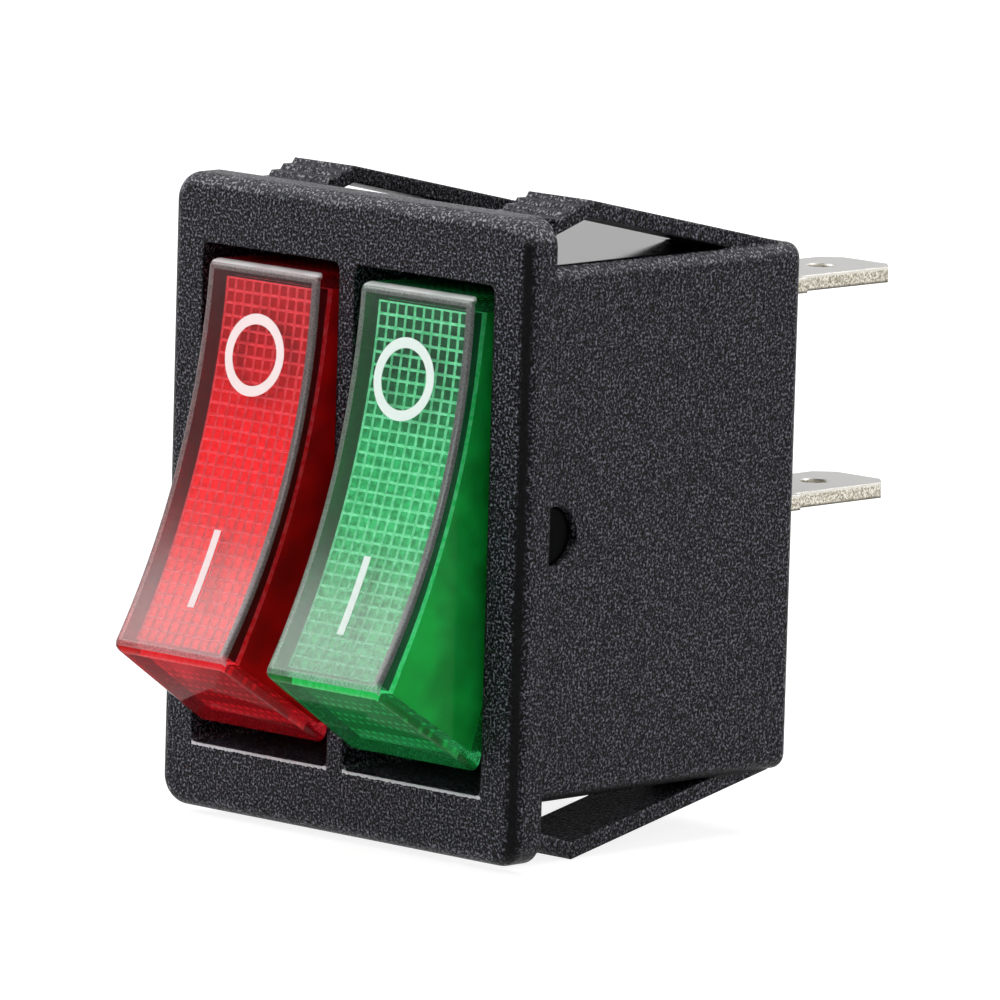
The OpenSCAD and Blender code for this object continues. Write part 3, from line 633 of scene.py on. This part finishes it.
def tinted_finishes(name, tones):
    """All finishes of one tint of polycarbonate, in the order of their slots"""
    made = {}
    for kind, values in finish_values.items():
        finish, tree, shader = new_finish(f"{kind}_polycarbonate_{name}", values)
        place = add(tree, "ShaderNodeTexCoord").outputs["Object"]
        grain = add(tree, "ShaderNodeTexNoise", {
            "Vector": place, "Scale": 1 / grain_of.get(kind, flow_mark), "Detail": 2}).outputs["Fac"]
        spread = add(tree, "ShaderNodeMapRange", {
            0: grain, 1: spread_from, 2: spread_to, 3: 0, 4: 1}).outputs[0]
        if kind == "end":
            cells = add(tree, "ShaderNodeTexVoronoi", {"Vector": place, "Scale": 1 / end_dots, "Randomness": 0})
            spread = add(tree, "ShaderNodeMapRange", {
                0: cells.outputs["Distance"], 1: dot_rim, 2: dot_core, 3: 0, 4: 1}).outputs[0]
        tone = add(tree, "ShaderNodeMix", {
            0: spread, 6: linear(tones[kind][0]), 7: linear(tones[kind][1])}, data_type="RGBA").outputs[2]
        if kind in ("lens", "groove"):
            along = add(tree, "ShaderNodeSeparateXYZ", {"Vector": place}).outputs["Z"]
            shade = add(tree, "ShaderNodeMapRange", {
                0: along, 1: waffle_low, 2: 0, 3: low_shade[name], 4: 1}).outputs[0]
            if kind == "lens":
                high = add(tree, "ShaderNodeMapRange", {
                    0: along, 1: waffle_high, 2: waffle_turn, 3: high_shade[name], 4: 1}).outputs[0]
                shade = add(tree, "ShaderNodeMath", {0: shade, 1: high}, operation="MULTIPLY").outputs[0]
            tone = add(tree, "ShaderNodeMix", {0: 1, 6: tone, 7: shade}, data_type="RGBA",
                       blend_type="MULTIPLY").outputs[2]
        tree.links.new(tone, shader.inputs["Base Color"])
        if kind in ("frosted", "window"):
            bump = add(tree, "ShaderNodeBump", {
                "Strength": frost_relief, "Distance": frost_depth, "Height": grain})
            tree.links.new(bump.outputs["Normal"], shader.inputs["Normal"])
        made[kind] = finish
    return made


# In each tint the near-black pin tones are painted shade, the pale tones of the strip below the face painted
# light, the white tones of the upper round a painted highlight, and the pale groove tones a painted reflection.
tints = {
    "red": {"polished": ("#ff3444", "#ff404c"), "frosted": ("#a89494", "#ffecec"),
            "window": ("#ff6470", "#ff6c78"), "lens": ("#ec0c24", "#ff3048"), "groove": ("#f09498", "#ffc8cc"),
            "pin": ("#180204", "#1c0306"), "edge": ("#d00010", "#e00c1c"), "inner": ("#b0000a", "#fc0c20"),
            "end": ("#80000c", "#d84858"), "painted_light_strip": ("#ff8084", "#fffafa"), "painted_highlight_round": ("#e8dcdc", "#ffffff"),
            "heel": ("#ff3444", "#ff404c")},
    "green": {"polished": ("#48e488", "#58f098"), "frosted": ("#9ca09e", "#f6faf8"),
              "window": ("#98f8c4", "#a0fccc"), "lens": ("#229060", "#4cc48c"), "groove": ("#a4e4c4", "#ecfff6"),
              "pin": ("#04140a", "#06180c"), "edge": ("#10b048", "#18bc54"), "inner": ("#0cb04c", "#1ee074"),
              "end": ("#08602c", "#40b880"), "painted_light_strip": ("#80f0b0", "#f8fffc"), "painted_highlight_round": ("#dce4e0", "#ffffff"),
              "heel": ("#48e488", "#58f098")}}
finishes = {tint: tinted_finishes(tint, tints[tint]) for tint in seats}
moulded = rocker_mesh(finishes["red"])
for tint, seat in seats.items():
    mesh = moulded.copy()
    mesh.transform(seat)
    for i, finish in enumerate(finishes[tint].values()):
        mesh.materials[i] = finish
    cap = new_object(tint + "_rocker_cap", mesh)
    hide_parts("rocker_" + tint)
    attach(cap, "rocker_" + tint)
bpy.data.meshes.remove(moulded)

# Printed marks. A white ring for off and a bar for on, pad printed on the frosted faces in thick
# ink that follows the hollow of the face. To the eye it is a matt white with a little of the face's
# tint. The grain of ink is finer than drawn here.
mark_out, mark_in = 2.05 * mm, 1.53 * mm
ring_at, bar_at = 5.65 * mm, -5.3 * mm
ring_off = {"red": 0, "green": -0.25 * mm}
bar_off = {"red": 0.2 * mm, "green": 0}
bar_w, bar_l = 0.46 * mm, 4.1 * mm
ink_t, ink_sink = 0.025 * mm, 0.01 * mm
ring_steps, bar_steps = 72, 16
ink_grain = 0.1 * mm

pad_inks = {}
for tint, tones in {"red": ("#f2dcdc", "#fbe8e8"), "green": ("#dceae4", "#e8f4ee")}.items():
    pad_inks[tint], tree, shader = new_finish("white_pad_print_ink_on_" + tint, {
        "Roughness": 0.55, "IOR": 1.5})
    place = add(tree, "ShaderNodeTexCoord").outputs["Object"]
    grain = add(tree, "ShaderNodeTexNoise", {
        "Vector": place, "Scale": 1 / ink_grain, "Detail": 2}).outputs["Fac"]
    tone = add(tree, "ShaderNodeMix", {
        0: grain, 6: linear(tones[0]), 7: linear(tones[1])}, data_type="RGBA").outputs[2]
    tree.links.new(tone, shader.inputs["Base Color"])


def ink_strip(pairs, closed):
    """Ink laid on a level rocker's face between pairs of points across and along the face"""
    shape = bmesh.new()
    rows = []
    for pair in pairs:
        row = []
        for rise, order in ((-ink_sink, (0, 1)), (ink_t, (1, 0))):
            for x, z in (pair[k] for k in order):
                row.append(shape.verts.new((x, face_y(face_r - rise, z), z)))
        rows.append(row)
    for one, two in zip(rows, rows[1:] + rows[:1] if closed else rows[1:]):
        for k in range(4):
            shape.faces.new((one[k], one[(k + 1) % 4], two[(k + 1) % 4], two[k]))
    if not closed:
        shape.faces.new(rows[0])
        shape.faces.new(rows[-1])
    bmesh.ops.recalc_face_normals(shape, faces=shape.faces)
    return shape


for tint, seat in seats.items():
    around = [2 * math.pi * i / ring_steps for i in range(ring_steps)]
    ring = ink_strip([
        [(ring_off[tint] + r * math.sin(a), ring_at + r * math.cos(a)) for r in (mark_in, mark_out)]
        for a in around], True)
    along = [bar_at + bar_l * (i / bar_steps - 0.5) for i in range(bar_steps + 1)]
    bar = ink_strip([[(bar_off[tint] + x, z) for x in (-bar_w / 2, bar_w / 2)] for z in along], False)
    for name, shape in (("off_ring", ring), ("on_bar", bar)):
        mesh = to_mesh(name, shape)
        mesh.transform(seat)
        mesh.materials.append(pad_inks[tint])
        mark = new_object(f"{tint}_{name}", mesh)
        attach(mark, "rocker_" + tint)

# Studio. A sheet of white paper swept up behind the switch and four softboxes, overhead, two on the
# front left and one on the right, in a dim room, with a long lens at the photograph's height and turn.
turn, rise, roll = math.radians(43.894), math.radians(8.399), math.radians(1.63)
distance, aim_right, aim_up = 604.05 * mm, 6.55 * mm, 0.665 * mm
focal_length, sensor_width, nearest = 436.86, 36, 0.05
paper_half, paper_front, paper_back, sweep_r, paper_top = 2.0, -2.0, 0.5, 0.35, 1.2
sweep_steps = 16
paper_glow = 0.86
room_dim, room_mirrored = 0.12, 0.42

across = Vector((math.cos(turn), math.sin(turn), 0))
behind = Vector((-math.sin(turn), math.cos(turn), 0))
table_z = cad_box[0][2]
profile = [(paper_front, 0)]
for i in range(sweep_steps + 1):
    angle = math.pi / 2 * i / sweep_steps
    profile.append((paper_back + sweep_r * math.sin(angle), sweep_r * (1 - math.cos(angle))))
profile.append((paper_back + sweep_r, paper_top))
shape = bmesh.new()
rows = []
for d, z in profile:
    lift = Vector((0, 0, table_z + z))
    rows.append([shape.verts.new(across * side * paper_half + behind * d + lift) for side in (-1, 1)])
for one, two in zip(rows, rows[1:]):
    shape.faces.new((one[0], one[1], two[1], two[0])).smooth = True
paper_mesh = to_mesh("paper_sweep", shape)
# To the eye the paper is an even white with soft shadows, also in mirrors and through clear plastic.
paper, tree, shader = new_finish("white_paper", {"Base Color": linear("#f2f2f2"), "Roughness": 0.9})
path = add(tree, "ShaderNodeLightPath").outputs
through = add(tree, "ShaderNodeMath", {
    0: path["Is Glossy Ray"], 1: path["Is Transmission Ray"]}, operation="MAXIMUM").outputs[0]
seen = add(tree, "ShaderNodeMath", {0: through, 1: path["Is Camera Ray"]}, operation="MAXIMUM").outputs[0]
glow = add(tree, "ShaderNodeEmission", {"Color": (1, 1, 1, 1), "Strength": paper_glow})
shaded = add(tree, "ShaderNodeBsdfDiffuse", {"Color": linear("#a0a0a0")})
bright = add(tree, "ShaderNodeAddShader", {0: glow.outputs[0], 1: shaded.outputs[0]})
shown = add(tree, "ShaderNodeMixShader", {0: seen, 1: shader.outputs[0], 2: bright.outputs[0]})
tree.links.new(shown.outputs[0], tree.nodes["Material Output"].inputs["Surface"])
paper_mesh.materials.append(paper)
new_object("paper_sweep", paper_mesh)

# Metal mirrors a pale room on the sides where no paper stands.
room = bpy.data.worlds.new("room")
room.use_nodes = True
tree = room.node_tree
backdrop = tree.nodes["Background"].inputs
backdrop["Color"].default_value = (1, 1, 1, 1)
mirrored = add(tree, "ShaderNodeLightPath").outputs["Is Glossy Ray"]
brightness = add(tree, "ShaderNodeMapRange", {
    0: mirrored, 1: 0, 2: 1, 3: room_dim, 4: room_mirrored}).outputs[0]
tree.links.new(brightness, backdrop["Strength"])
bpy.context.scene.world = room

middle = Vector([(a + b) / 2 for a, b in zip(*cad_box)])
for name, place, size, watts in (("overhead_softbox", (0.0, 0.28, 0.52), 0.36, 2.6),
                                 ("key_softbox", (-0.48, -0.33, 0.385), 0.20, 1.35),
                                 ("fill_softbox", (-0.16, -0.55, 0.28), 0.34, 1.8),
                                 ("side_softbox", (0.50, 0.22, 0.38), 0.30, 0.9)):
    lamp = bpy.data.lights.new(name, "AREA")
    lamp.shape = "SQUARE"
    lamp.size = size
    lamp.energy = watts
    stand = new_object(name, lamp)
    stand.location = place
    stand.rotation_euler = (middle - Vector(place)).to_track_quat("-Z", "Y").to_euler()

above = Vector((-math.sin(turn) * math.sin(rise), math.cos(turn) * math.sin(rise), math.cos(rise)))
back = across.cross(above)
right = across * math.cos(roll) + above * math.sin(roll)
up = above * math.cos(roll) - across * math.sin(roll)
aim = right * aim_right + up * aim_up
lens = bpy.data.cameras.new("camera")
lens.lens = focal_length
lens.sensor_width = sensor_width
lens.clip_start = nearest
camera = new_object("camera", lens)
turned_camera = Matrix((right, up, back)).transposed().to_4x4()
camera.matrix_world = Matrix.Translation(aim + back * distance) @ turned_camera
bpy.context.scene.camera = camera
bpy.context.scene.view_settings.view_transform = "Standard"
